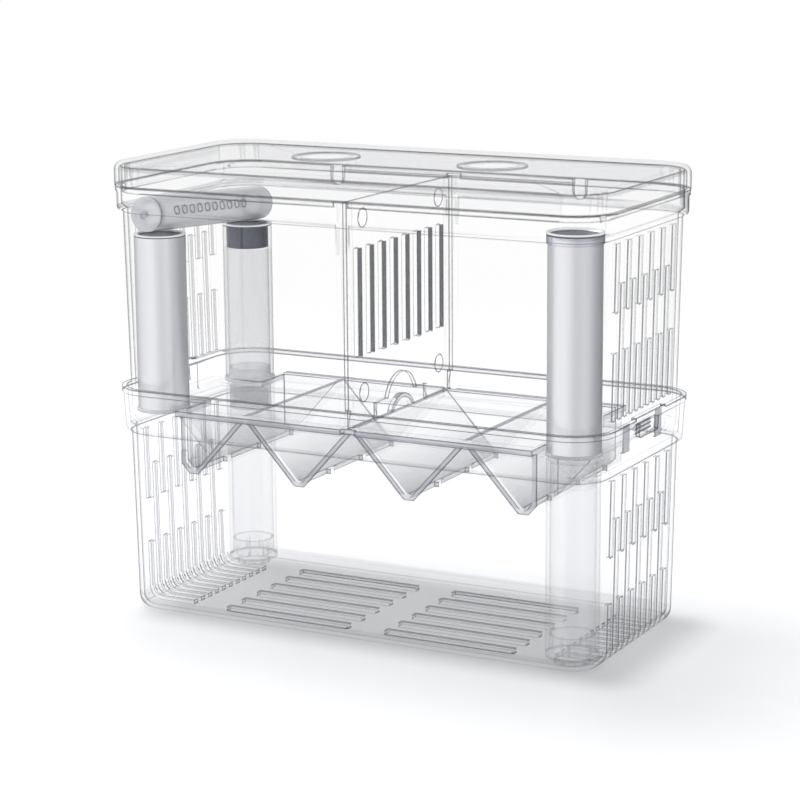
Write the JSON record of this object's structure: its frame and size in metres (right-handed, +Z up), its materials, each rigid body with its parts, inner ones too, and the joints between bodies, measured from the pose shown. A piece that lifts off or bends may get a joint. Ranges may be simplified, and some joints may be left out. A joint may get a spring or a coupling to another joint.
{
  "type": "fish breeding box",
  "caption": "Clear double-decker fish breeding box: a slotted box with a lid nested in a lower box, with a divider, a V-trough spawning tray and float tubes in the corners.",
  "frame": {"origin": "middle of the lower box's underside, on the surface it stands on", "axes": "+Z up, +X along the length towards the picture's right end, +Y towards the back"},
  "size_m": [0.205, 0.097, 0.1738],
  "materials": {
    "lower_box_clear": "clear polystyrene, polished",
    "upper_box_clear": "clear polystyrene, polished",
    "lid_clear": "clear polystyrene, polished",
    "port_cover_clear": "clear, polished",
    "divider_clear": "clear polystyrene, polished",
    "tray_clear": "clear polystyrene, light grey by its thickness",
    "float_tube_frosted": "silvery translucent tube, satin",
    "stopper_dark_grey": "dark grey, satin",
    "foot_frosted": "frosted, satin",
    "cap_grey": "grey, polished",
    "lower_tube_frosted": "pale translucent tube, satin",
    "lower_stopper_grey": "mid grey, satin",
    "flow_tube_frosted": "frosted translucent tube, satin",
    "flow_cap_frosted": "frosted, satin"
  },
  "bodies": {
    "lower_box": {"lower_box": "lower_box_clear"},
    "upper_box": {"upper_box": "upper_box_clear"},
    "lid": {"lid": "lid_clear"},
    "port_cover_left": {"port_cover_left": "port_cover_clear"},
    "port_cover_right": {"port_cover_right": "port_cover_clear"},
    "divider": {"divider": "divider_clear"},
    "spawning_tray": {"spawning_tray": "tray_clear"},
    "float_front_left": {"float_tube_front_left": "float_tube_frosted", "float_stopper_front_left": "stopper_dark_grey", "float_foot_front_left": "foot_frosted"},
    "float_back_left": {"float_tube_back_left": "float_tube_frosted", "float_stopper_back_left": "stopper_dark_grey", "float_foot_back_left": "foot_frosted"},
    "float_front_right": {"float_tube_front_right": "float_tube_frosted", "float_cap_front_right": "cap_grey", "float_foot_front_right": "foot_frosted"},
    "lower_float_back_left": {"lower_float_tube_back_left": "lower_tube_frosted", "lower_float_stopper_back_left": "lower_stopper_grey", "lower_float_foot_back_left": "lower_stopper_grey"},
    "lower_float_front_right": {"lower_float_tube_front_right": "lower_tube_frosted", "lower_float_stopper_front_right": "lower_stopper_grey", "lower_float_foot_front_right": "lower_stopper_grey"},
    "flow_tube": {"flow_tube": "flow_tube_frosted", "flow_tube_front_cap": "flow_cap_frosted", "flow_tube_back_cap": "flow_cap_frosted"}
  },
  "joints": [
    {"name": "upper_box_lift", "type": "slide", "parent": "lower_box", "child": "upper_box", "axis": [0, 0, 1], "range_m": [0, 0.11]},
    {"name": "lid_lift", "type": "slide", "parent": "upper_box", "child": "lid", "axis": [0, 0, 1], "range_m": [0, 0.2]},
    {"name": "port_cover_left_lift", "type": "slide", "parent": "lid", "child": "port_cover_left", "axis": [0, 0, 1], "range_m": [0, 0.012]},
    {"name": "port_cover_right_lift", "type": "slide", "parent": "lid", "child": "port_cover_right", "axis": [0, 0, 1], "range_m": [0, 0.012]},
    {"name": "flow_tube_lift", "type": "slide", "parent": "upper_box", "child": "flow_tube", "axis": [0, 0, 1], "range_m": [0, 0.18]},
    {"name": "float_front_left_lift", "type": "slide", "parent": "upper_box", "child": "float_front_left", "axis": [0, 0, 1], "range_m": [0, 0.16]},
    {"name": "float_back_left_lift", "type": "slide", "parent": "upper_box", "child": "float_back_left", "axis": [0, 0, 1], "range_m": [0, 0.16]},
    {"name": "float_front_right_lift", "type": "slide", "parent": "upper_box", "child": "float_front_right", "axis": [0, 0, 1], "range_m": [0, 0.16]},
    {"name": "divider_lift", "type": "slide", "parent": "upper_box", "child": "divider", "axis": [0, 0, 1], "range_m": [0, 0.14]},
    {"name": "tray_lift", "type": "slide", "parent": "upper_box", "child": "spawning_tray", "axis": [0, 0, 1], "range_m": [0, 0.12]},
    {"name": "lower_float_back_left_lift", "type": "slide", "parent": "lower_box", "child": "lower_float_back_left", "axis": [0, 0, 1], "range_m": [0, 0.088]},
    {"name": "lower_float_front_right_lift", "type": "slide", "parent": "lower_box", "child": "lower_float_front_right", "axis": [0, 0, 1], "range_m": [0, 0.088]}
  ],
  "couplings": [
    {"joint": "flow_tube_lift", "follows": "lid_lift", "ratio": 0.9},
    {"joint": "float_front_left_lift", "follows": "lid_lift", "ratio": 0.8},
    {"joint": "float_back_left_lift", "follows": "lid_lift", "ratio": 0.8},
    {"joint": "float_front_right_lift", "follows": "lid_lift", "ratio": 0.8},
    {"joint": "divider_lift", "follows": "lid_lift", "ratio": 0.7},
    {"joint": "tray_lift", "follows": "lid_lift", "ratio": 0.6},
    {"joint": "lower_float_back_left_lift", "follows": "upper_box_lift", "ratio": 0.8},
    {"joint": "lower_float_front_right_lift", "follows": "upper_box_lift", "ratio": 0.8}
  ]
}
